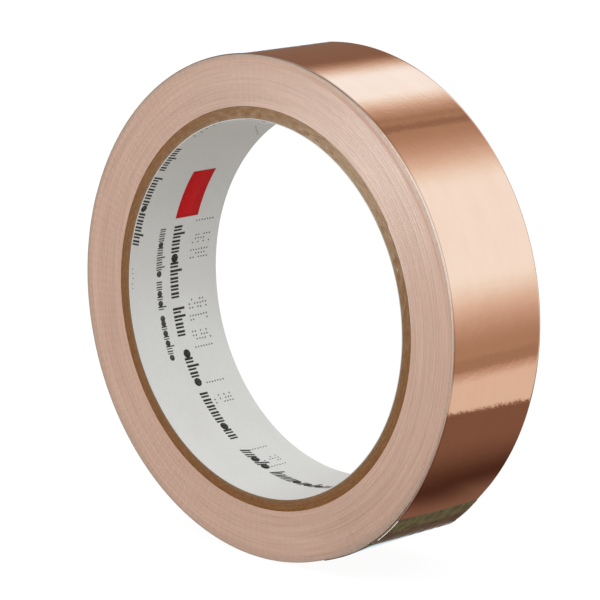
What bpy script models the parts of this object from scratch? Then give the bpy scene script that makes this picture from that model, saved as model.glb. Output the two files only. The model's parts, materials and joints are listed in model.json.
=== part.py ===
"""Copper foil tape roll: a paperboard core with a paper label, the wound pack of liner-backed
copper tape, the outermost turn as its real layers, and the film tab that closes the free end.

Metres, +Z up. The origin is the centre of the bore, halfway across the width. The roll's axis is
Y and the roll stands on its rim. Angles are degrees in the XZ plane, from +X towards +Z. An angle
past 360 is a further turn: the tape runs inwards as its angle grows.
"""

import math

import bpy
from mathutils import Vector

MM = 0.001

# Roll
WIDTH = 25.4 * MM
BORE_RADIUS = 38.1 * MM
CORE_WALL = 2.6 * MM
ROLL_RADIUS = 51.2 * MM  # outer face of the tape at its free end
TURNS = 57.25

# Core
PLIES = 4
LABEL = 0.15 * MM
PLY_GAP = 0.02 * MM
PLY = (CORE_WALL - LABEL - PLIES * PLY_GAP) / PLIES
CORE_RECESS = 0.1 * MM  # the core stops this far short of the pack's side faces
SEAM_GAP = 0.3 * MM

# Tape
CORE_CLEARANCE = 0.05 * MM
PACK_RADIUS = BORE_RADIUS + CORE_WALL + CORE_CLEARANCE  # inner face of the first turn
PITCH = (ROLL_RADIUS - PACK_RADIUS) / TURNS  # radius gained in one turn
FOIL = 0.0356 * MM
ADHESIVE = 0.030 * MM
LINER = 0.100 * MM
LAYER_GAP = (PITCH - FOIL - ADHESIVE - LINER) / 3
END_GAP = 0.3 * MM  # between the ends of strips that would meet

# Tab
TAB_FILM = 0.060 * MM
TAB_ADHESIVE = 0.030 * MM
TAB_GAP = 0.010 * MM

# Facets: every strip shares these corners, so that thin layers stay parallel
FACETS = 80
FACET = 360 / FACETS
FIRST_CORNER = 270 - FACET / 2  # the roll rests on a flat facet, not on a corner
ON_CORNER = 1e-6

# Angles, each on a facet corner
FREE_END = FIRST_CORNER + 8 * FACET
TAB_TOP = FIRST_CORNER + 11 * FACET
TAB_TOUCHDOWN = FIRST_CORNER + 7 * FACET
TAB_BOTTOM = FIRST_CORNER + 5 * FACET
CREASE = FIRST_CORNER + 17 * FACET  # where the loose end of the tape bends as it is lifted
FIRST_TURN_START = FIRST_CORNER - 52 * FACET
LABEL_SEAM = FIRST_CORNER - 40 * FACET
PLY_SEAM_STEP = 18 * FACET

# How far the loose end stands off the roll
SLACK = 0.3 * MM  # from the crease to the tab
SLACK_ANGLE = 9.0
BOW = 0.8 * MM  # more under the tab, whose film is stiff
BOW_ANGLE = 9.0

COLOURS = {  # base colour, roughness, metallic
    "label_paper": ((0.58, 0.58, 0.55), 0.6, 0.0),
    "kraft_board": ((0.21, 0.11, 0.045), 0.9, 0.0),
    "wound_edge": ((0.56, 0.37, 0.29), 0.6, 0.2),
    "copper_foil": ((0.78, 0.42, 0.27), 0.2, 1.0),
    "acrylic_adhesive": ((0.70, 0.62, 0.45), 0.3, 0.0),
    "release_liner": ((0.72, 0.68, 0.62), 0.6, 0.0),
    "tab_film": ((0.10, 0.11, 0.04), 0.15, 0.0),
    "tab_adhesive": ((0.25, 0.26, 0.14), 0.4, 0.0),
}


def clear_scene():
    for obj in list(bpy.data.objects):
        bpy.data.objects.remove(obj)


def make_material(name):
    colour, roughness, metallic = COLOURS[name]
    material = bpy.data.materials.new(name)
    material.use_nodes = True
    shader = material.node_tree.nodes["Principled BSDF"]
    shader.inputs["Base Color"].default_value = (*colour, 1.0)
    shader.inputs["Roughness"].default_value = roughness
    shader.inputs["Metallic"].default_value = metallic
    material.diffuse_color = (*colour, 1.0)
    return material


def smoothstep(value):
    value = min(max(value, 0.0), 1.0)
    return value * value * (3 - 2 * value)


def turn_radius(angle):
    """Outer face of the wound tape."""
    return ROLL_RADIUS - PITCH * (angle - FREE_END) / 360


def tail_radius(angle):
    """Outer face of the loose end, which stands off the turn below."""
    slack = SLACK * smoothstep((CREASE - angle) / SLACK_ANGLE)
    bow = BOW * smoothstep((TAB_TOP + FACET - angle) / BOW_ANGLE)
    return turn_radius(angle) + slack + bow


def tab_radius(angle):
    """Inner face of the tab: on the loose end down to the end of the tape, then on the roll."""
    if angle > TAB_TOUCHDOWN + ON_CORNER:
        return tail_radius(angle) + TAB_GAP
    return turn_radius(angle + 360) + TAB_GAP


def corner_point(corner, radius_at):
    angle = FIRST_CORNER + corner * FACET
    turn = math.radians(angle)
    return radius_at(angle) * Vector((math.cos(turn), math.sin(turn)))


def facet_point(angle, radius_at):
    """The point at an angle on the flat facets that join the corners."""
    place = (angle - FIRST_CORNER) / FACET
    corner = math.floor(place + ON_CORNER)
    here = corner_point(corner, radius_at)
    return here.lerp(corner_point(corner + 1, radius_at), place - corner)


def facet_path(start, end, radius_at):
    """Points from start to end, with each facet corner between them."""
    first = math.floor((start - FIRST_CORNER) / FACET + ON_CORNER) + 1
    last = math.ceil((end - FIRST_CORNER) / FACET - ON_CORNER)
    corners = [FIRST_CORNER + corner * FACET for corner in range(first, last)]
    return [facet_point(angle, radius_at) for angle in (start, *corners, end)]


def arc_angle(length, radius):
    return math.degrees(length / radius)


def add_curve_object(name, width, material, collection, pivot):
    """A 2D curve whose plane is the roll's side and whose extrusion runs along the roll's axis."""
    curve = bpy.data.curves.new(name, "CURVE")
    curve.dimensions = "2D"
    curve.extrude = width / 2
    curve.materials.append(material)
    obj = bpy.data.objects.new(name, curve)
    obj.rotation_euler = (math.pi / 2, 0, 0)
    obj.parent = pivot
    collection.objects.link(obj)
    return obj


def add_spline(curve, points, closed, origin):
    spline = curve.splines.new("POLY")
    spline.points.add(len(points) - 1)
    for spot, point in zip(spline.points, points):
        x, y = point - origin
        spot.co = (x, y, 0, 1)
    spline.use_cyclic_u = closed


def add_strip(name, path, thickness, material, collection, width=WIDTH, pivot=None):
    """A strip whose outer face follows path. Its thickness grows towards the roll's axis."""
    obj = add_curve_object(name, width, material, collection, pivot)
    obj.data.fill_mode = "NONE"
    origin = Vector((pivot.location.x, pivot.location.z)) if pivot else Vector((0, 0))
    add_spline(obj.data, path, False, origin)
    solidify = obj.modifiers.new("Solidify", "SOLIDIFY")
    solidify.thickness = thickness
    solidify.offset = 1  # a counter-clockwise curve's extrusion faces the axis
    solidify.use_even_offset = True
    return obj


def add_pivot(name, point, collection):
    """An empty on a joint's axis, which runs along Y."""
    pivot = bpy.data.objects.new(name, None)
    pivot.empty_display_size = 5 * MM
    pivot.location = (point.x, 0, point.y)
    collection.objects.link(pivot)
    return pivot


def build_core(materials, collection):
    """The paper label inside kraft plies. Each is a strip bent round until its ends nearly meet."""
    strips = [("core_label", LABEL, materials["label_paper"])]
    strips += [(f"core_ply_{ply + 1}", PLY, materials["kraft_board"]) for ply in range(PLIES)]
    inner = BORE_RADIUS
    for index, (name, thickness, material) in enumerate(strips):
        outer = inner + thickness
        seam = LABEL_SEAM + index * PLY_SEAM_STEP
        end = seam + 360 - arc_angle(SEAM_GAP, outer)
        path = facet_path(seam, end, lambda angle: outer)
        width = WIDTH - 2 * CORE_RECESS
        add_strip(name, path, thickness, material, collection, width=width)
        inner = outer + PLY_GAP


def build_pack(materials, collection):
    """Every turn below the outermost one, with a step where the tape starts and where it leaves."""

    def first_turn_radius(angle):
        return PACK_RADIUS + PITCH * (1 - (angle - FIRST_TURN_START) / 360)

    obj = add_curve_object("wound_turns", WIDTH, materials["wound_edge"], collection, None)
    obj.data.fill_mode = "BOTH"
    outer = facet_path(FREE_END + 360, FREE_END + 720, turn_radius)
    inner = facet_path(FIRST_TURN_START, FIRST_TURN_START + 360, first_turn_radius)
    for path in (outer, inner):
        add_spline(obj.data, path, True, Vector((0, 0)))


def tape_layers(materials):
    """Each layer of the tape from outside in: name, depth of its outer face, thickness, material."""
    foil_depth = 0.0
    adhesive_depth = FOIL + LAYER_GAP
    liner_depth = adhesive_depth + ADHESIVE + LAYER_GAP
    return (
        ("foil", foil_depth, FOIL, materials["copper_foil"]),
        ("adhesive", adhesive_depth, ADHESIVE, materials["acrylic_adhesive"]),
        ("liner", liner_depth, LINER, materials["release_liner"]),
    )


def build_outer_turn(materials, collection):
    """The outermost turn, from the crease round to where the pack's own surface takes over."""
    gap = arc_angle(END_GAP, ROLL_RADIUS)
    for name, depth, thickness, material in tape_layers(materials):
        path = facet_path(CREASE + gap, FREE_END + 360 - gap, lambda a: turn_radius(a) - depth)
        add_strip(f"outer_{name}", path, thickness, material, collection)


def build_tail(materials, collection):
    """The loose end. Its foil and adhesive lift as one, and its liner peels away from them."""
    pivots = {}
    for name, depth, thickness, material in tape_layers(materials):
        path = facet_path(FREE_END, CREASE, lambda a: tail_radius(a) - depth)
        if name != "adhesive":
            hinge = "liner_pivot" if name == "liner" else "tail_pivot"
            pivots[hinge] = pivot = add_pivot(hinge, path[-1], collection)
        add_strip(f"tail_{name}", path, thickness, material, collection, pivot=pivot)
    return pivots


def build_tab(materials, collection):
    """The closing tab: a stiff film and its adhesive, from the loose end down onto the roll."""
    adhesive_face = TAB_ADHESIVE
    film_face = adhesive_face + TAB_GAP + TAB_FILM
    film = facet_path(TAB_BOTTOM, TAB_TOP, lambda a: tab_radius(a) + film_face)
    adhesive = facet_path(TAB_BOTTOM, TAB_TOP, lambda a: tab_radius(a) + adhesive_face)
    pivot = add_pivot("tab_pivot", film[-1], collection)
    add_strip("tab_film", film, TAB_FILM, materials["tab_film"], collection, pivot=pivot)
    add_strip(
        "tab_adhesive", adhesive, TAB_ADHESIVE, materials["tab_adhesive"], collection, pivot=pivot
    )


def main():
    clear_scene()
    collection = bpy.data.collections.new("copper_foil_tape_roll")
    bpy.context.scene.collection.children.link(collection)
    materials = {name: make_material(name) for name in COLOURS}
    build_core(materials, collection)
    build_pack(materials, collection)
    build_outer_turn(materials, collection)
    build_tail(materials, collection)
    build_tab(materials, collection)


main()
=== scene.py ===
"""Looks of the copper foil tape roll: every wound layer, the kraft core, the label, foil and tab.

Lengths are metres in the frame's own axes: the roll's axis is Y and it stands on its rim. Angles
are degrees in the XZ plane, from +X towards +Z. An angle past 360 is a further turn: the tape runs
inwards as its angle grows.
"""

import json
import math

import bpy
import numpy as np
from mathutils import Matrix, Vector


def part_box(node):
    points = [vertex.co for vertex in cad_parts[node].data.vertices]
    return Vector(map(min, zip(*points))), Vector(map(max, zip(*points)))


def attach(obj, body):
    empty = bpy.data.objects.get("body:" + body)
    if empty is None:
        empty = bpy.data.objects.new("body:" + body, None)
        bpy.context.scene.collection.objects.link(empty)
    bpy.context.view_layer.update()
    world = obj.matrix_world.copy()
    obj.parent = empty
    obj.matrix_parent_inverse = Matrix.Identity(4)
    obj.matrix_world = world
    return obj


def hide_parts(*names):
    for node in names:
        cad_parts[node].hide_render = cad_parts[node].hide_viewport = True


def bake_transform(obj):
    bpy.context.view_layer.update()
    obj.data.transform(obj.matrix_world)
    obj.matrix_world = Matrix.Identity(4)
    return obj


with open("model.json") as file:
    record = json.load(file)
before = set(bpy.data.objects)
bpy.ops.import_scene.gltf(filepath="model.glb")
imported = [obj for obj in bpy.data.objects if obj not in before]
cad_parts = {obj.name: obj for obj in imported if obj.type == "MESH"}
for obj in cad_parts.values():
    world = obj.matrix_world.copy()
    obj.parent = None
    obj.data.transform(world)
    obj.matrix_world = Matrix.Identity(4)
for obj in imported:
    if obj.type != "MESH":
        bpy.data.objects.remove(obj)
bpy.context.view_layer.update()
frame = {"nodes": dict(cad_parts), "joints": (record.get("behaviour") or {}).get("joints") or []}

MM = 0.001
SEED = 7


# ---------------------------------------------------------------- sizes, read from the frame


def joint_place(name):
    spot = next(j for j in frame["joints"] if j["name"] == name)["pos_m"]
    return math.degrees(math.atan2(spot[2], spot[0])) % 360, math.hypot(spot[0], spot[2])


def polar(node):
    """Angles and radii of a node's corners."""
    points = np.array([vert.co for vert in frame["nodes"][node].data.vertices], float)
    angle = np.degrees(np.arctan2(points[:, 2], points[:, 0])) % 360
    return angle, np.hypot(points[:, 0], points[:, 2])


WIDTH = 2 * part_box("outer_foil")[1].y
PACK_RADIUS = polar("wound_turns")[1].min()
FREE_END = polar("tail_foil")[0].min()
TAB_BOTTOM = polar("tab_film")[0].min()
CREASE, CREASE_RADIUS = joint_place("tail_lift")
TAB_TOP = joint_place("tab_peel")[0]

TURNS = 57.25
FOIL = 0.0356 * MM
ADHESIVE = 0.030 * MM
LINER = 0.100 * MM
PITCH = (CREASE_RADIUS - PACK_RADIUS) / (TURNS - (CREASE - FREE_END) / 360)
ROLL_RADIUS = PACK_RADIUS + PITCH * TURNS
LAYER_GAP = (PITCH - FOIL - ADHESIVE - LINER) / 3
ADHESIVE_DEPTH = FOIL + LAYER_GAP
LINER_DEPTH = ADHESIVE_DEPTH + ADHESIVE + LAYER_GAP
STRIP_START = FREE_END + 360 * TURNS  # the first turn's end, on the core
FAR_SEAM = FREE_END + 216  # where the loose turn's mesh meets the rest of the outermost turn
STRIP_LENGTH = math.radians(STRIP_START - FAR_SEAM) * (PACK_RADIUS + ROLL_RADIUS) / 2
BORE_RADIUS = 38.1  # millimetres

# The loose end and the tab are cut askew: angles at the front edge and at the back edge
END_CUT = (FREE_END + 2.2, FREE_END - 0.2)
TAB_CUT = (TAB_TOP - 1.1, TAB_TOP - 3.4)
TAB_DIP = 5.0  # degrees over which the tab comes down from the tape's end to the roll
TAB_FILM = 0.06 * MM
TAB_GLUE = 0.03 * MM
TAB_GAP = 0.01 * MM
TAB_LIP = 0.17 * MM  # how far in from the film's side edges they are rounded over

OPENED_FROM = 43.0 * MM  # the turns have opened below the loose end from this radius outwards
OPENED_OVER = 8.0 * MM
LAYER_INSET = 0.12 * MM  # how much narrower than the foil the layers under it are


# ---------------------------------------------------------------- shapes


def smoothstep(low, high, value):
    t = np.clip((value - low) / (high - low), 0.0, 1.0)
    return t * t * (3 - 2 * t)


def wavy(count, lengths, seed):
    """A smooth random field of two places in millimetres, mostly between -1 and 1."""
    rng = np.random.RandomState(seed)
    length = rng.uniform(*lengths, count)
    way = rng.uniform(0, 2 * math.pi, count)
    phase = rng.uniform(0, 2 * math.pi, count)

    def field(u, v):
        total = 0.0
        for size, turn, start in zip(length, way, phase):
            run = u * math.cos(turn) + v * math.sin(turn)
            total = total + np.sin(2 * math.pi * run / size + start)
        return total / math.sqrt(count)

    return field


dents = wavy(44, (1.6, 4.5), SEED)
long_waves = wavy(12, (9.0, 30.0), SEED + 1)
edge_wander = wavy(9, (0.4, 3.5), SEED + 2)
crumple = wavy(30, (0.8, 3.0), SEED + 3)


def front_to_back(pair, y):
    """A value that runs straight from the front edge to the back edge."""
    return pair[0] + (pair[1] - pair[0]) * (y / WIDTH + 0.5)


def slackened(angle, y):
    """How far the outer turns have opened below the loose end, most of all at the front."""
    place = angle % 360
    height = front_to_back((0.60, 0.15), y) * MM
    return height * smoothstep(345, 305, place) * smoothstep(288, 303, place)


def turn_radius(angle, y=0.0):
    """Outer face of the wound foil."""
    radius = ROLL_RADIUS - PITCH * (angle - FREE_END) / 360
    return radius + np.clip((radius - OPENED_FROM) / OPENED_OVER, 0, 1) * slackened(angle, y)


def relief(angle, y):
    """Dents and long waves in the outermost foil."""
    run = np.radians(angle) * ROLL_RADIUS / MM
    return 0.0011 * MM * dents(run, y / MM) + 0.004 * MM * long_waves(run, y / MM)


def lift(angle, y):
    """How far the loose end stands off the turn below. The stiff tab bows it up."""
    height = front_to_back((0.14, 0.50), y) * MM
    start, full = front_to_back((331, 317), y), front_to_back((318, 304), y)
    return height * smoothstep(start, full, angle)


def rolled_edge(y):
    """The slitting knives turn the foil's edges in, the back one further than the front one."""
    reach = np.where(y < 0, 0.30, 0.55) * MM
    drop = np.where(y < 0, 0.12, 0.17) * MM
    t = np.clip((np.abs(y) - (WIDTH / 2 - reach)) / reach, 0, 1)
    return drop * (1 - np.sqrt(1 - t * t))


def step_back(angle):
    """The last few turns were wound a little further back than those below them."""
    recess = 0.10 * MM * smoothstep(49.5, 50.5, turn_radius(angle) / MM)
    turn = angle / 360
    return recess + 0.012 * MM * edge_wander(turn, 0.3 * turn)


def along(start, end, step):
    count = int(round(math.radians(end - start) * ROLL_RADIUS / step))
    return np.linspace(start, end, count + 1)


def across(step, width=WIDTH):
    count = max(int(round(width / step)), 1)
    return np.linspace(-width / 2, width / 2, count + 1)


def across_with_edges(step):
    """Even steps, and finer ones round the rolled edges."""
    inner = across(step, WIDTH - 1.3 * MM)
    rim = WIDTH / 2 - np.array([0.52, 0.40, 0.30, 0.21, 0.14, 0.08, 0.04, 0.015, 0.0]) * MM
    return np.concatenate([-rim[::-1], inner, rim])


def skewed(angles, ends, reach=25.0):
    """Angles for each section and each place across, eased into an end that is cut askew."""
    y = across_with_edges(0.5 * MM)
    weight = 1 - smoothstep(0, reach, np.abs(angles - angles[0]))
    shift = front_to_back(ends, y) - angles[0]
    return angles[:, None] + weight[:, None] * shift[None, :]


# ---------------------------------------------------------------- meshes


def add_piece(name, verts, faces, material, uv=None, smooth_angle=40):
    mesh = bpy.data.meshes.new(name)
    mesh.from_pydata(np.asarray(verts).tolist(), [], faces)
    mesh.materials.append(material)
    mesh.shade_smooth()
    mesh.set_sharp_from_angle(angle=math.radians(smooth_angle))
    if uv is not None:
        layer = mesh.uv_layers.new(name="strip")
        corner = np.empty(len(mesh.loops), np.int32)
        mesh.loops.foreach_get("vertex_index", corner)
        layer.data.foreach_set("uv", np.asarray(uv, np.float32)[corner].ravel())
    piece = bpy.data.objects.new(name, mesh)
    bpy.context.scene.collection.objects.link(piece)
    return piece


def loft(name, sections, material, uv):
    """Skins closed sections, an array of section, point and xyz. The first half of a section's
    points is the outer side from front to back, and the second half is the inner side back."""
    count, ring, _ = sections.shape
    faces = []
    for i in range(count - 1):
        a, b = i * ring, (i + 1) * ring
        faces += [(a + j, a + (j + 1) % ring, b + (j + 1) % ring, b + j) for j in range(ring)]
    for base, order in ((0, 1), ((count - 1) * ring, -1)):
        for j in range(ring // 2 - 1):
            quad = (base + j, base + ring - 1 - j, base + ring - 2 - j, base + j + 1)
            faces.append(quad[::order])
    return add_piece(name, sections.reshape(-1, 3), faces, material, uv.reshape(-1, 2))


def strip(name, angles, y, radius_at, thickness, material, shift=None):
    """A bent strip whose outer face is radius_at(angle, y). Its UV map holds the distance along
    and across it in metres."""
    angle = np.asarray(angles, float)
    y = np.asarray(y, float)
    angle = angle if angle.ndim == 2 else angle[:, None] + 0 * y[None, :]
    y = y[None, :] + 0 * angle
    radius = radius_at(angle, y) + 0 * angle
    place = y + (shift(angle) if shift else 0.0)
    turn = np.radians(angle)
    sides = [
        np.stack([r * np.cos(turn), place, r * np.sin(turn)], -1)
        for r in (radius, radius - thickness)
    ]
    sections = np.concatenate([sides[0], sides[1][:, ::-1]], 1)
    steps = np.radians(np.diff(angle, axis=0)) * radius[1:]
    run = np.concatenate([np.zeros((1, angle.shape[1])), np.cumsum(steps, axis=0)])
    flat = np.stack([run, y], -1)
    return loft(name, sections, material, np.concatenate([flat, flat[:, ::-1]], 1))


def finish_piece(piece, body, slot, *nodes):
    """Gives a piece its body, and takes over the frame's nodes that it replaces. Its slot is not
    used.
    """
    if body:
        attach(piece, body)
    if nodes:
        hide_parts(*nodes)
    return piece


# ---------------------------------------------------------------- shader helpers


class Graph:
    """A short way to write a material's nodes."""

    def __init__(self, name, tree=None):
        if tree is None:
            self.material = bpy.data.materials.new(name)
            self.material.use_nodes = True
            tree = self.material.node_tree
            self.shader = tree.nodes["Principled BSDF"]
        self.tree = tree

    def feed(self, socket, value):
        if isinstance(value, bpy.types.NodeSocket):
            self.tree.links.new(value, socket)
        elif isinstance(value, tuple) and socket.type == "RGBA":
            socket.default_value = (*value, 1.0)
        else:
            socket.default_value = value

    def node(self, kind, inputs=(), **settings):
        made = self.tree.nodes.new(kind)
        for key, value in settings.items():
            setattr(made, key, value)
        for key, value in dict(inputs).items():
            self.feed(made.inputs[key], value)
        return made

    def math(self, operation, a, b=0.0):
        return self.node("ShaderNodeMath", {0: a, 1: b}, operation=operation).outputs[0]

    def scaled(self, vector, factors):
        inputs = {0: vector, 1: factors}
        return self.node("ShaderNodeVectorMath", inputs, operation="MULTIPLY").outputs[0]

    def strip_point(self, along_scale=1.0, across_scale=1.0):
        """The place on a strip in millimetres, along and across, stretched."""
        uv = self.node("ShaderNodeUVMap", uv_map="strip").outputs[0]
        return self.scaled(uv, (1000 * along_scale, 1000 * across_scale, 1.0))

    def object_point(self):
        """The place in millimetres."""
        where = self.node("ShaderNodeTexCoord").outputs["Object"]
        return self.scaled(where, (1000, 1000, 1000))

    def object_axes(self):
        parts = self.node("ShaderNodeSeparateXYZ", {0: self.object_point()})
        return parts.outputs["X"], parts.outputs["Z"]

    def radius(self):
        """Distance from the roll's axis in millimetres."""
        x, z = self.object_axes()
        squares = self.math("ADD", self.math("MULTIPLY", x, x), self.math("MULTIPLY", z, z))
        return self.math("SQRT", squares)

    def ring_point(self, radial_scale, round_scale):
        """A place that changes quickly with the radius and slowly round the roll."""
        x, z = self.object_axes()
        radius = self.radius()
        inputs = {
            "X": self.math("MULTIPLY", radius, radial_scale),
            "Y": self.math("MULTIPLY", self.math("DIVIDE", x, radius), round_scale),
            "Z": self.math("MULTIPLY", self.math("DIVIDE", z, radius), round_scale),
        }
        return self.node("ShaderNodeCombineXYZ", inputs).outputs[0]

    def noise(self, point, scale=1.0, detail=3.0, rough=0.55):
        inputs = {"Vector": point, "Scale": scale, "Detail": detail, "Roughness": rough}
        return self.node("ShaderNodeTexNoise", inputs).outputs["Fac"]

    def ramp(self, value, *stops):
        made = self.node("ShaderNodeValToRGB", {"Fac": value})
        elements = made.color_ramp.elements
        while len(elements) < len(stops):
            elements.new(1.0)
        for element, (place, colour) in zip(elements, stops):
            element.position = place
            element.color = (*colour, 1.0)
        return made.outputs["Color"]

    def span(self, value, low, high, to_low=0.0, to_high=1.0):
        inputs = {0: value, 1: low, 2: high, 3: to_low, 4: to_high}
        return self.node("ShaderNodeMapRange", inputs).outputs[0]

    def mix(self, factor, a, b, blend="MIX"):
        made = self.node("ShaderNodeMix", data_type="RGBA", blend_type=blend)
        for index, value in ((0, factor), (6, a), (7, b)):
            self.feed(made.inputs[index], value)
        return made.outputs[2]

    def bump(self, height, distance, normal=None):
        inputs = {"Height": height, "Distance": distance}
        if normal is not None:
            inputs["Normal"] = normal
        return self.node("ShaderNodeBump", inputs).outputs[0]

    def surface(self, **inputs):
        for key, value in inputs.items():
            self.feed(self.shader.inputs[key.replace("_", " ")], value)
        return self.material


# ---------------------------------------------------------------- materials


def copper_foil():
    """Rolled foil: nearly a mirror, with a fine grain, and duller where the slit edges turn in.
    Just inside the front edge a thin dark band is painted shade. The edge itself is painted pale
    as a highlight low on the roll, and dark as shade towards the top.
    """
    g = Graph("copper_foil")
    point = g.strip_point()
    grain = g.noise(point, 3.2, 3.0, 0.6)
    pits = g.noise(point, 0.9, 2.0)
    cloud = g.noise(g.strip_point(0.4, 1.0), 0.22, 3.0)
    height = g.object_axes()[1]
    handled = g.math("MULTIPLY", g.noise(point, 2.4, 2.0), g.span(height, 36.0, 43.0))
    normal = g.bump(pits, 0.0075 * MM)
    normal = g.bump(grain, 0.0024 * MM, normal)
    normal = g.bump(handled, 0.008 * MM, normal)
    y = g.node("ShaderNodeSeparateXYZ", {0: point}).outputs["Y"]
    face = g.mix(g.span(cloud, 0.35, 0.7), (0.93, 0.60, 0.45), (0.95, 0.63, 0.48))
    # Painted shade: a thin dark band just inside the foil's front edge.
    line = g.ramp(
        g.span(y, -12.7, -11.9),
        (0.0, (0.0, 0.0, 0.0)),
        (0.30, (0.0, 0.0, 0.0)),
        (0.42, (0.60, 0.60, 0.60)),
        (0.60, (0.60, 0.60, 0.60)),
        (0.85, (0.0, 0.0, 0.0)),
    )
    colour = g.mix(line, face, (0.42, 0.24, 0.17))
    # Painted light on the foil's front edge: pale as a highlight low on the roll, dark as shade
    # towards the top.
    painted_edge_highlight_and_shade = g.mix(g.span(height, 38.0, 46.0), (1.00, 0.77, 0.65), (0.36, 0.22, 0.17))
    colour = g.mix(g.span(y, -12.42, -12.50), colour, painted_edge_highlight_and_shade)
    turned_in = g.span(g.math("ABSOLUTE", y), 12.38, 12.50, 0.0, 0.28)
    rough = g.math("ADD", g.span(grain, 0.3, 0.7, 0.025, 0.055), turned_in)
    return g.surface(Base_Color=colour, Metallic=1.0, Roughness=rough, Normal=normal)


def side_streaks(g):
    """Fine rings on the roll's side, from 0 to 1."""
    fine = g.noise(g.ring_point(3.4, 2.5), 1.0, 2.0, 0.6)
    broad = g.noise(g.ring_point(0.9, 1.6), 1.0, 2.0, 0.5)
    return g.math("ADD", g.math("MULTIPLY", fine, 0.7), g.math("MULTIPLY", broad, 0.3))


def outer_turns(g):
    """0 below the last few turns, rising to 1 at the rim, where the edges are greyer."""
    return g.span(g.radius(), 50.1, 50.8)


def side_normal(g, height, distance):
    """Fine relief on the roll's side, which also falls back a little towards the rim."""
    fall = g.ramp(
        g.span(g.radius(), 49.4, 51.4),
        (0.0, (1.0, 1.0, 1.0)),
        (0.45, (0.55, 0.55, 0.55)),
        (0.70, (0.50, 0.50, 0.50)),
        (1.0, (0.0, 0.0, 0.0)),
    )
    return g.bump(height, distance, g.bump(fall, 0.18 * MM))


def copper_edge():
    """The foil as its slit edges show it: burred, so duller and paler than the face."""
    g = Graph("copper_wound")
    streaks = side_streaks(g)
    colour = g.ramp(streaks, (0.35, (0.60, 0.31, 0.21)), (0.65, (0.85, 0.50, 0.37)))
    colour = g.mix(outer_turns(g), colour, (0.52, 0.38, 0.30))
    glint = g.noise(g.object_point(), 5.0, 3.0)
    normal = side_normal(g, glint, 0.010 * MM)
    return g.surface(Base_Color=colour, Metallic=0.30, Roughness=0.24, Normal=normal)


def adhesive():
    g = Graph("acrylic_adhesive")
    smear = g.noise(g.strip_point(), 0.8, 4.0)
    colour = g.ramp(smear, (0.3, (0.36, 0.22, 0.16)), (0.7, (0.46, 0.30, 0.22)))
    return g.surface(Base_Color=colour, Roughness=0.35, Normal=g.bump(smear, 0.01 * MM))


def liner_paper():
    """Pink-white paper edges. The first turn's liner is bare, and shows white by the core."""
    g = Graph("release_liner")
    streaks = side_streaks(g)
    fibre = g.noise(g.object_point(), 4.0, 4.0, 0.65)
    mottle = g.noise(g.object_point(), 0.9, 3.0, 0.6)
    pink = g.ramp(streaks, (0.36, (0.74, 0.49, 0.385)), (0.64, (0.89, 0.625, 0.505)))
    grey = g.ramp(fibre, (0.35, (0.56, 0.415, 0.325)), (0.65, (0.68, 0.51, 0.41)))
    colour = g.mix(outer_turns(g), pink, grey)
    colour = g.mix(g.span(mottle, 0.35, 0.70, 0.0, 0.35), colour, (0.85, 0.65, 0.54))
    run = g.node("ShaderNodeSeparateXYZ", {0: g.strip_point()}).outputs["X"]
    bare = g.span(run, STRIP_LENGTH / MM - 64, STRIP_LENGTH / MM - 60)
    colour = g.mix(bare, colour, (0.90, 0.84, 0.76))
    normal = side_normal(g, fibre, 0.008 * MM)
    return g.surface(Base_Color=colour, Roughness=0.24, Normal=normal)


def kraft():
    """Brown board, greyer by the bore, with fibres that run round the core."""
    g = Graph("kraft_board")
    fibre = g.noise(g.ring_point(3.0, 40.0), 1.0, 5.0, 0.7)
    rings = g.noise(g.ring_point(4.5, 3.0), 1.0, 2.0)
    depth = g.span(g.radius(), 38.2, 40.6)
    base = g.ramp(
        depth,
        (0.0, (0.29, 0.185, 0.105)),
        (0.30, (0.26, 0.122, 0.045)),
        (1.0, (0.255, 0.100, 0.022)),
    )
    dark = g.mix(1.0, base, (0.66, 0.62, 0.58), "MULTIPLY")
    colour = g.mix(g.span(fibre, 0.38, 0.62), dark, base)
    colour = g.mix(g.span(rings, 0.50, 0.70, 0.0, 0.30), colour, (0.36, 0.21, 0.095))
    return g.surface(
        Base_Color=colour,
        Roughness=0.25,
        Specular_IOR_Level=1.0,
        Specular_Tint=(1.0, 0.62, 0.40),
        Normal=g.bump(fibre, 0.010 * MM),
    )


def label_paper():
    g = Graph("label_paper")
    point = g.object_point()
    fibre = g.noise(point, 2.5, 5.0, 0.65)
    cloud = g.noise(point, 0.12, 3.0)
    colour = g.ramp(fibre, (0.3, (0.72, 0.72, 0.70)), (0.7, (0.78, 0.78, 0.765)))
    colour = g.mix(g.span(cloud, 0.4, 0.7, 0.0, 0.25), colour, (0.66, 0.655, 0.63))
    return g.surface(
        Base_Color=colour,
        Roughness=0.5,
        Specular_IOR_Level=0.3,
        Normal=g.bump(fibre, 0.012 * MM),
    )


def ink(name, colour, wear=0.25):
    g = Graph(name)
    blot = g.noise(g.object_point(), 3.0, 4.0)
    worn = tuple(c + wear * (0.6 - c) for c in colour)
    return g.surface(
        Base_Color=g.mix(g.span(blot, 0.5, 0.8), colour, worn),
        Roughness=0.5,
        Specular_IOR_Level=0.15,
    )


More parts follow.
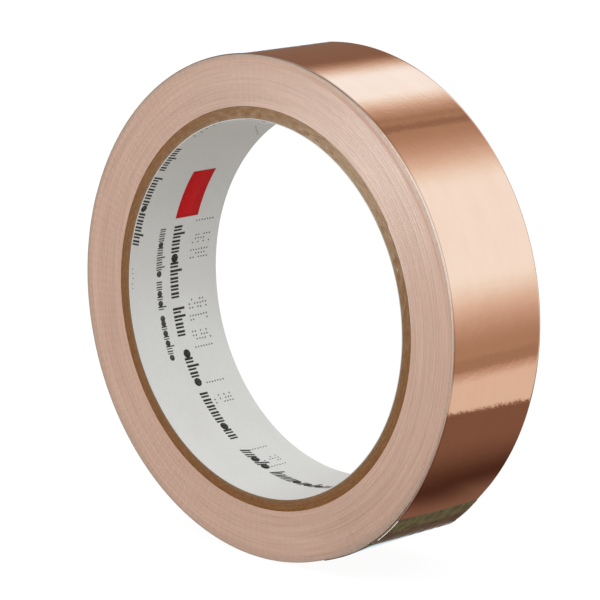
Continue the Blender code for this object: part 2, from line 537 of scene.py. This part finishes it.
def tab_film():
    """Stiff clear film over its own green-brown adhesive: darker and crinkled near its end, where
    pale patches are painted highlights on the crinkles.
    """
    g = Graph("tab_film")
    point = g.strip_point()
    run = g.node("ShaderNodeSeparateXYZ", {0: point}).outputs["X"]
    streak = g.noise(g.strip_point(0.9, 0.25), 0.9, 4.0)
    blotch = g.noise(point, 0.45, 4.0, 0.6)
    fine = g.noise(g.strip_point(1.6, 0.5), 1.2, 3.0)
    green = g.ramp(blotch, (0.38, (0.092, 0.090, 0.028)), (0.58, (0.155, 0.182, 0.072)))
    brown = g.ramp(streak, (0.42, (0.024, 0.015, 0.002)), (0.62, (0.120, 0.095, 0.030)))
    edge = g.math("ADD", run, g.math("MULTIPLY", blotch, 9.0))
    colour = g.mix(g.span(edge, 23.5, 21.5), green, brown)
    y = g.node("ShaderNodeSeparateXYZ", {0: point}).outputs["Y"]
    # Painted highlights: pale patches on the crinkles near the film's lower end.
    crinkle_highlight = g.math("MULTIPLY", g.span(fine, 0.56, 0.62), g.span(y, 3.0, 7.0))
    crinkle_highlight = g.math("MULTIPLY", crinkle_highlight, g.span(run, 14.0, 11.0))
    colour = g.mix(crinkle_highlight, colour, (0.60, 0.56, 0.42))
    normal = g.bump(fine, 0.02 * MM)
    return g.surface(
        Base_Color=colour,
        Roughness=0.15,
        Specular_IOR_Level=0.4,
        Normal=normal,
        Coat_Weight=0.2,
        Coat_Roughness=0.05,
    )


# A glowing pale material: a painted glint on the tab film's cut side edges.
def painted_film_edge_glint():
    g = Graph("tab_film_painted_edge_glint")
    return g.surface(
        Base_Color=(0.93, 0.92, 0.86),
        Roughness=0.3,
        Emission_Color=(1.0, 0.98, 0.90),
        Emission_Strength=0.95,
    )


def tab_glue():
    g = Graph("tab_adhesive")
    cloud = g.noise(g.strip_point(), 1.2, 3.0)
    colour = g.ramp(cloud, (0.3, (0.10, 0.085, 0.03)), (0.7, (0.16, 0.14, 0.06)))
    return g.surface(Base_Color=colour, Roughness=0.4)


# ---------------------------------------------------------------- the tape


def bend(piece):
    """Bakes a strip of the loose end's transform into its mesh."""
    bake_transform(piece)


def build_loose_turn(foil, glue, paper):
    """From the free end back past the crease and round the far side, layer by layer."""

    def face(depth, rough):
        def radius_at(angle, y):
            base = turn_radius(angle, y) + lift(angle, y) - depth
            return base + (relief(angle, y) - rolled_edge(y) if rough else 0.0)

        return radius_at

    y = across_with_edges(0.5 * MM)
    angles = skewed(along(FREE_END, FAR_SEAM, 0.5 * MM), END_CUT)
    piece = strip("loose_foil", angles, y, face(0.0, True), FOIL, foil, step_back)
    finish_piece(piece, None, "copper_foil", "outer_foil", "tail_foil")
    bend(piece)
    layers = (
        ("adhesive", ADHESIVE_DEPTH, ADHESIVE, glue, "acrylic_adhesive", "tail"),
        ("liner", LINER_DEPTH, LINER, paper, "release_liner", "liner_end"),
    )
    for name, depth, thickness, material, slot, body in layers:
        coarse = skewed(along(FREE_END, FAR_SEAM, 1.0 * MM), END_CUT)
        inset = y * (1 - LAYER_INSET / WIDTH)
        piece = strip(
            f"loose_{name}", coarse, inset, face(depth, False), thickness, material, step_back
        )
        finish_piece(piece, None, slot, f"outer_{name}", f"tail_{name}")
        bend(piece)


def build_outer_turn(foil):
    """The rest of the outermost face: the far side, and on under the loose end to the crease."""
    y = across_with_edges(0.5 * MM)
    angles = along(FAR_SEAM, CREASE + 360, 0.5 * MM)

    def face(angle, y):
        return turn_radius(angle, y) + relief(angle, y) - rolled_edge(y)

    piece = strip("outer_foil_face", angles, y, face, FOIL, foil, step_back)
    finish_piece(piece, "roll", "copper_foil")


def build_wound_turns(foil, glue, paper):
    layers = (
        ("foil", CREASE + 360.4, 0.0, FOIL, foil, "copper_foil", ("wound_turns",)),
        ("adhesive", FAR_SEAM, ADHESIVE_DEPTH, ADHESIVE, glue, "acrylic_adhesive", ()),
        ("liner", FAR_SEAM, LINER_DEPTH, LINER, paper, "release_liner", ()),
    )
    for name, start, depth, thickness, material, slot, nodes in layers:
        angles = np.arange(start, STRIP_START, 2.0)
        edges = np.array([-WIDTH / 2, WIDTH / 2])

        def face(angle, y):
            return turn_radius(angle, y) - depth

        piece = strip(f"wound_{name}", angles, edges, face, thickness, material, step_back)
        finish_piece(piece, "roll", slot, *nodes)


# ---------------------------------------------------------------- the core and its label

PLY_SEAM_STEP = 81
LABEL_LAP = 88.0  # angle at which the label's two ends lap
CORE_SHORT = 0.3 * MM  # how much shorter than the CAD the core and its label are at the back
# Layers of the torn lap: first and last angle, and millimetres that it stands off and is thick
LAP_LAYERS = ((84.5, 97.0, 0.10, 0.05), (86.0, 90.5, 0.32, 0.12))


def build_core(board, paper):
    for index in range(1, 5):
        node = f"core_ply_{index}"
        radius = polar(node)[1]
        inner, outer = radius.min(), radius.max()
        low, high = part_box(node)
        start = LABEL_LAP + PLY_SEAM_STEP * index
        angles = np.linspace(start, start + 359.93, 300)
        fray = wavy(14, (0.6, 4.0), SEED + 10 + index)
        y = np.array([low.y, low.y * 0.5, 0.0, high.y * 0.5, high.y - CORE_SHORT])

        def shift(angle):
            return 0.02 * MM * fray(np.radians(angle) * outer / MM, 0.0)

        piece = strip(
            f"kraft_ply_{index}", angles, y, lambda a, y: outer, outer - inner, board, shift
        )
        finish_piece(piece, "roll", "kraft_board", node)
    radius = polar("core_label")[1]
    inner, outer = radius.min(), radius.max()
    low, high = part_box("core_label")
    y = np.linspace(low.y, high.y - CORE_SHORT, 24)
    ripple = wavy(10, (6.0, 20.0), SEED + 20)

    def face(angle, y):
        return outer - 0.012 * MM * (1 + ripple(np.radians(angle) * outer / MM, y / MM))

    angles = np.arange(LABEL_LAP, LABEL_LAP + 360.5, 1.0)
    piece = strip("label", angles, y, face, outer - inner, paper)
    finish_piece(piece, "roll", "label_paper", "core_label")
    build_label_lap(paper, inner)


def build_label_lap(paper, inner):
    """The label's end lies over its start. Its front corner is torn in two steps."""
    tear = wavy(12, (0.5, 2.5), SEED + 21)
    for index, (start, end, stand, thick) in enumerate(LAP_LAYERS):
        angles = np.linspace(start, end, 40)
        y = np.linspace(-WIDTH / 2 + 0.05 * MM, WIDTH / 2 - 0.5 * MM, 30)
        y = y if index == 0 else y[:4]

        def face(angle, y):
            ends = smoothstep(start, start + 1.5, angle) * smoothstep(end, end - 1.5, angle)
            fade = smoothstep(-0.2, 1.0, (y / WIDTH + 0.5) * 6)
            wave = 0.02 * MM * tear(np.radians(angle) * inner / MM, y / MM)
            return inner - (stand * MM * ends * (1 - 0.8 * fade) + 0.01 * MM) + wave * ends

        piece = strip(f"label_lap_{index}", angles, y, face, thick * MM, paper)
        finish_piece(piece, "roll", "label_paper")


# ---------------------------------------------------------------- printing in the bore

INK_LIFT = 0.04 * MM  # clear of the label's ripples
DEGREE = math.radians(1) * BORE_RADIUS  # millimetres round the bore
JET_GROUPS = ((163, 3), (189, 4), (216, 2), (244, 3))  # first angle, and count
JET_STEP = 5  # degrees from one mark of a group to the next


def stamp(name, polygons, material):
    """Thin ink on the bore. A polygon is a list of places: degrees round and millimetres along."""
    bore = polar("core_label")[1].min() - INK_LIFT
    corners = {}
    faces = []
    for polygon in polygons:
        spots = [(round(angle, 4), round(y, 4)) for angle, y in polygon]
        faces.append(tuple(corners.setdefault(spot, len(corners)) for spot in spots))
    verts = []
    for angle, y in corners:
        turn = math.radians(angle)
        verts.append((bore * math.cos(turn), y * MM, bore * math.sin(turn)))
    piece = add_piece(name, verts, faces, material)
    piece.modifiers.new("Solidify", "SOLIDIFY").thickness = 0.004 * MM
    finish_piece(piece, "roll", "label_paper")


def block(angle, y, wide, tall, slant=0.0, parts=1):
    """An upright of ink, wide round the bore and tall along the axis, in one or more parts."""
    cuts = [angle + wide / DEGREE * k / parts for k in range(parts + 1)]
    lean = slant * tall / DEGREE
    return [
        [(a, y), (b, y), (b + lean, y + tall), (a + lean, y + tall)]
        for a, b in zip(cuts, cuts[1:])
    ]


def disc(angle, y, radius, sides=10):
    points = []
    for k in range(sides):
        turn = 2 * math.pi * k / sides
        points.append((angle + radius * math.cos(turn) / DEGREE, y + radius * math.sin(turn)))
    return points


def dummy_row(start, end, y, height, stem, pitch, words, seed, slant=0.0):
    """A row of plain uprights and dots that stands for a line of print and spells nothing."""
    rng = np.random.RandomState(seed)
    gaps = set(np.cumsum(words))
    shapes = []
    for index, place in enumerate(np.arange(start, end, pitch / DEGREE)):
        if index in gaps:
            continue
        tall = height * rng.choice([0.68, 0.68, 0.68, 1.0])
        if rng.rand() < 0.25:
            shapes.append(disc(place + 0.45 * pitch / DEGREE, y + 0.34 * height, 0.30 * height, 8))
        else:
            second = place + 0.48 * pitch / DEGREE
            shapes += block(place, y, stem, tall, slant)
            shapes += block(second, y, stem * 0.8, 0.66 * height, slant)
    return shapes


def dotted_marks():
    """The ink-jet marking: groups of dots in a row that wanders off true."""
    rng = np.random.RandomState(SEED + 30)
    shapes = []
    places = [start + JET_STEP * k for start, count in JET_GROUPS for k in range(count)]
    for place in places:
        top = 9.9 - 0.052 * (place - places[0])
        columns = rng.choice([1, 2, 3])
        for column in range(columns):
            for row in range(7):
                if columns > 1 and rng.rand() < 0.35:
                    continue
                wobble = 0.12 * rng.rand()
                shapes.append(disc(place + 1.25 * column + wobble, top - 0.78 * row, 0.19, 6))
    return shapes


def build_print():
    black = ink("black_ink", (0.028, 0.027, 0.026))
    grey = ink("jet_ink", (0.085, 0.09, 0.11), 0.35)
    red = ink("red_ink", (0.68, 0.008, 0.012), 0.05)
    stamp("printed_badge", block(143.0, -1.3, 12.0, 6.4, 0.0, 12), red)
    bold = dummy_row(163.8, 199.2, -1.0, 3.3, 0.50, 1.62, (10,), SEED + 31)
    bold += dummy_row(204.4, 237.4, -1.0, 3.3, 0.50, 1.62, (5,), SEED + 32)
    bold += dummy_row(242.8, 281.0, -1.3, 3.3, 0.46, 1.55, (5,), SEED + 33, slant=0.3)
    bold += dummy_row(128.5, 166.0, -12.5, 2.7, 0.44, 1.55, (5,), SEED + 34, slant=0.3)
    stamp("printed_rows", bold, black)
    thin = dummy_row(164.0, 206.0, -5.0, 2.3, 0.26, 1.05, (10, 7), SEED + 35)
    stamp("printed_small_row", thin, ink("thin_ink", (0.06, 0.058, 0.055)))
    loose = [disc(175.5 + 1.6 * k, -11.8 + 0.1 * (k % 3), 0.14, 6) for k in range(5)]
    for k in range(5):
        loose += block(120.0 + 1.7 * k, 5.2 + 1.1 * k, 0.25, 0.50, 0.3)
    for k in range(5):
        loose += block(108.0 + 3.0 * k, -12.2 + 0.3 * (k % 2), 0.25, 1.1, 0.5)
    stamp("jet_marks", dotted_marks() + loose, grey)


# ---------------------------------------------------------------- the tab


def tab_seat(angle, y):
    """What the tab lies on: the loose end, then down past its cut to the roll."""
    cut = front_to_back(END_CUT, y)
    down = smoothstep(cut - 0.2, cut - TAB_DIP, angle)
    on_tail = turn_radius(angle, y) + lift(angle, y)
    on_roll = turn_radius(angle + 360, y)
    creased = smoothstep(7.0, 0.5, np.abs(angle - cut)) * (y / WIDTH + 0.75)
    run = np.radians(angle) * ROLL_RADIUS / MM
    wrinkle = 0.020 * MM * creased * crumple(0.4 * run, y / MM)
    seat = on_tail * (1 - down) + on_roll * down
    return seat + np.maximum(wrinkle, -0.005 * MM) + TAB_GAP


def build_tab(film, glue, edge):
    """The film on its adhesive. Just past the tape's cut end the adhesive is made thicker, as a
    wedge that fills the gap down to the roll, and it keeps that shape when the tab is peeled."""
    y = across_with_edges(0.5 * MM)
    base = np.arange(TAB_TOP, TAB_BOTTOM, -0.4)
    angles = skewed(base, TAB_CUT, reach=20.0)[::-1]
    film_top = TAB_GLUE + TAB_GAP + TAB_FILM
    past_end = smoothstep(0.0, -0.6, angles - front_to_back(END_CUT, y))
    clear = tab_seat(angles, y) - turn_radius(angles + 360, y) - TAB_GAP
    glue_depth = TAB_GLUE + past_end * clear
    piece = strip(
        "closing_tab_adhesive", angles, y, lambda a, y: tab_seat(a, y) + TAB_GLUE, glue_depth, glue
    )
    finish_piece(piece, "tab", "tab_adhesive", "tab_adhesive")
    piece = strip(
        "closing_tab_film", angles, y, lambda a, y: tab_seat(a, y) + film_top, TAB_FILM, film
    )
    finish_piece(piece, "tab", "tab_film", "tab_film")
    # The film's rounded side edges take the glowing edge material, a painted glint.
    for name, rim in (("front", -WIDTH / 2), ("back", WIDTH / 2)):
        lip = np.array([0.0, 0.05 * MM, 0.11 * MM, TAB_LIP])
        lip = rim + lip if rim < 0 else rim - lip[::-1]
        sharp = angles[:, :1] if rim < 0 else angles[:, -1:]
        sharp = sharp[sharp[:, 0] > front_to_back(END_CUT, rim) + 2.0]

        def round_over(a, y):
            t = np.clip((np.abs(y) - WIDTH / 2 + TAB_LIP) / TAB_LIP, 0, 1)
            return tab_seat(a, y) + film_top + 0.025 * MM - 0.09 * MM * t * t

        piece = strip(
            f"closing_tab_{name}_edge", sharp + 0 * lip, lip, round_over, 0.02 * MM, edge
        )
        finish_piece(piece, "tab", "tab_film")


# ---------------------------------------------------------------- studio

CAMERA_AZIMUTH = 44.24
CAMERA_ELEVATION = 11.94
CAMERA_DISTANCE = 0.6361
CAMERA_LENS = 189.7  # millimetres, on a 36 mm sensor
CAMERA_OFFSET = (-0.844 * MM, 0.188 * MM)  # right and up, in the camera's own plane

# What the foil mirrors: long cards behind the roll, parallel to its axis. Each one has the angles
# of its lower and upper edge about the axis, how soft those edges are, and a brightness. A later
# card covers the earlier ones where they meet.
ROOM = 0.42  # brightness between the cards
CARDS = (
    ("ceiling", 134, 200, 10, 1, 0.24),
    ("window", 102, 134, 9, 10, 1.0),
    ("upper bar", 86, 90, 0.5, 0.5, 0.30),
    ("lower bar", 92, 94, 1, 1, 0.35),
    ("softbox", -4, 69, 18, 16, 0.96),
    ("shelf", -31, -25, 0.5, 0.5, 0.37),
    ("strip light", -51, -33, 0.3, 4, 0.75),
    ("dark floor", -150, -51, 1, 0.3, 0.21),
    ("floor shade", -100, -78, 10, 14, 0.07),
    ("pale ground", -200, -139, 1, 4, 1.0),
)
GLOW = (  # brightness, and the colour it has: deep and warm when dim, cool when bright
    (0.07, (0.07, 0.03, 0.02)),
    (0.22, (0.22, 0.13, 0.09)),
    (0.42, (0.42, 0.30, 0.22)),
    (0.60, (0.60, 0.49, 0.42)),
    (0.75, (0.75, 0.70, 0.63)),
    (0.90, (0.90, 1.00, 1.00)),
    (1.0, (1.00, 1.22, 1.36)),
)
PANEL = (0.05, -0.95, 0.30)  # the way to the middle of the panel ahead of the roll
END_WALL = (1.05, 1.05, 1.05)  # the lit wall at the far end of the cards

# The strip light's lower edge isn't quite parallel to the roll's axis. It turns by EDGE_SLANT for
# each unit of tilt along the axis, up to SLANT_LIMIT, and is straight at STRAIGHT_TILT.
EDGE_SLANT = math.radians(48)
SLANT_LIMIT = 0.1
STRAIGHT_TILT = 1.086


def card_mask(g, turn, low, high, soft_low, soft_high):
    """1 between a card's two edges and 0 outside them."""
    edges = ((low - soft_low, low + soft_low), (high + soft_high, high - soft_high))
    sides = []
    for outside, inside in edges:
        inputs = {0: turn, 1: math.radians(outside), 2: math.radians(inside)}
        side = g.node("ShaderNodeMapRange", inputs, interpolation_type="SMOOTHSTEP")
        sides.append(side.outputs[0])
    return g.math("MULTIPLY", *sides)


def light_behind(g, x, y, z):
    """What the tape's face mirrors: cards that run the length of the room behind the roll."""
    turn = g.math("ARCTAN2", z, x)
    spread = g.math("SQRT", g.math("ADD", g.math("MULTIPLY", x, x), g.math("MULTIPLY", z, z)))
    tilt = g.math("ABSOLUTE", g.math("DIVIDE", y, spread))
    slant = g.math("MULTIPLY", g.math("SUBTRACT", tilt, STRAIGHT_TILT), EDGE_SLANT)
    slant = g.node("ShaderNodeClamp", {0: slant, 1: -SLANT_LIMIT, 2: SLANT_LIMIT}).outputs[0]
    slant = g.math("MULTIPLY", slant, g.span(turn, math.radians(-36), math.radians(-44)))
    slanted = g.math("ADD", turn, slant)
    brightness = ROOM
    for _, *edges, level in CARDS:
        mask = card_mask(g, slanted, *edges)
        inputs = {0: mask, 2: brightness, 3: level}
        brightness = g.node("ShaderNodeMix", inputs, data_type="FLOAT").outputs[0]
    bands = g.ramp(brightness, *GLOW)
    end_wall = g.math("MULTIPLY", g.span(y, 0.80, 0.93), g.span(turn, -0.7, -0.3))
    return g.mix(end_wall, bands, END_WALL)


def light_in_front(g, where):
    """What the roll's side mirrors: dim, with a broad bright panel ahead and above."""
    panel = g.node("ShaderNodeVectorMath", {0: where, 1: PANEL}, operation="DOT_PRODUCT")
    return g.ramp(
        g.span(panel.outputs["Value"], 0.0, 1.0),
        (0.45, (0.30, 0.26, 0.24)),
        (0.68, (0.52, 0.47, 0.43)),
        (0.85, (1.28, 1.25, 1.22)),
        (1.00, (1.45, 1.42, 1.40)),
    )


def build_world():
    world = bpy.data.worlds.new("studio")
    bpy.context.scene.world = world
    world.use_nodes = True
    world.node_tree.nodes.clear()
    g = Graph("", world.node_tree)
    where = g.node("ShaderNodeTexCoord").outputs["Generated"]
    axes = g.node("ShaderNodeSeparateXYZ", {0: where})
    x, y, z = (axes.outputs[name] for name in "XYZ")
    mirrored = g.mix(
        g.math("GREATER_THAN", y, 0.0), light_in_front(g, where), light_behind(g, x, y, z)
    )
    sky = g.ramp(
        g.span(z, -1.0, 1.0),
        (0.0, (0.45, 0.42, 0.38)),
        (0.5, (0.66, 0.66, 0.655)),
        (1.0, (0.86, 0.86, 0.85)),
    )
    path = g.node("ShaderNodeLightPath")
    colour = g.mix(path.outputs["Is Glossy Ray"], sky, mirrored)
    colour = g.mix(path.outputs["Is Camera Ray"], colour, (1.0, 1.0, 1.0))
    background = g.node("ShaderNodeBackground", {"Color": colour})
    g.node("ShaderNodeOutputWorld", {"Surface": background.outputs[0]})


def build_floor():
    """A plain white floor that the roll stands on. It lights nothing, and takes a faint shadow."""
    g = Graph("floor")
    white = (1.0, 1.0, 1.0)
    g.surface(
        Base_Color=(0.09, 0.09, 0.09),
        Roughness=1.0,
        Specular_IOR_Level=0.0,
        Emission_Color=white,
        Emission_Strength=0.95,
    )
    reach = 3.0
    ground = -ROLL_RADIUS - 0.02 * MM
    corners = [(-reach, -reach), (reach, -reach), (reach, reach), (-reach, reach)]
    verts = [(x, y, ground) for x, y in corners]
    floor = add_piece("floor", verts, [(0, 1, 2, 3)], g.material)
    floor.visible_glossy = False
    floor.visible_diffuse = False


def add_softbox(name, place, target, side, power, colour, glossy):
    data = bpy.data.lights.new(name, "AREA")
    data.size = side
    data.energy = power
    data.color = colour
    light = bpy.data.objects.new(name, data)
    light.location = place
    light.rotation_euler = (Vector(target) - Vector(place)).to_track_quat("-Z", "Y").to_euler()
    light.visible_glossy = glossy
    light.visible_diffuse = not glossy
    bpy.context.scene.collection.objects.link(light)


def build_lights():
    """A sheen across the upper right of the side face, and a soft key from above."""
    shine = (0.043, -0.0127, 0.034)
    cool = (0.65, 0.92, 1.0)
    add_softbox("sheen", (-0.283, -0.374, -0.047), shine, 0.04, 0.20, cool, True)
    white = (1.0, 1.0, 1.0)
    add_softbox("key", (0.35, -0.60, 0.75), (0, 0, 0), 0.5, 3.0, white, False)


def build_camera():
    azimuth, elevation = math.radians(CAMERA_AZIMUTH), math.radians(CAMERA_ELEVATION)
    level = math.cos(elevation)
    back = Vector(
        (math.sin(azimuth) * level, -math.cos(azimuth) * level, math.sin(elevation))
    )
    rotation = (-back).to_track_quat("-Z", "Y")
    data = bpy.data.cameras.new("camera")
    data.sensor_width = 36
    data.lens = CAMERA_LENS
    camera = bpy.data.objects.new("camera", data)
    camera.rotation_euler = rotation.to_euler()
    camera.location = back * CAMERA_DISTANCE + rotation @ Vector((*CAMERA_OFFSET, 0))
    bpy.context.scene.collection.objects.link(camera)
    bpy.context.scene.camera = camera
    bpy.context.scene.view_settings.view_transform = "Standard"


def main():
    foil, glue, paper = copper_foil(), adhesive(), liner_paper()
    build_loose_turn(foil, glue, paper)
    build_outer_turn(foil)
    build_wound_turns(copper_edge(), glue, paper)
    build_core(kraft(), label_paper())
    build_print()
    build_tab(tab_film(), tab_glue(), painted_film_edge_glint())
    build_world()
    build_floor()
    build_lights()
    build_camera()


main()
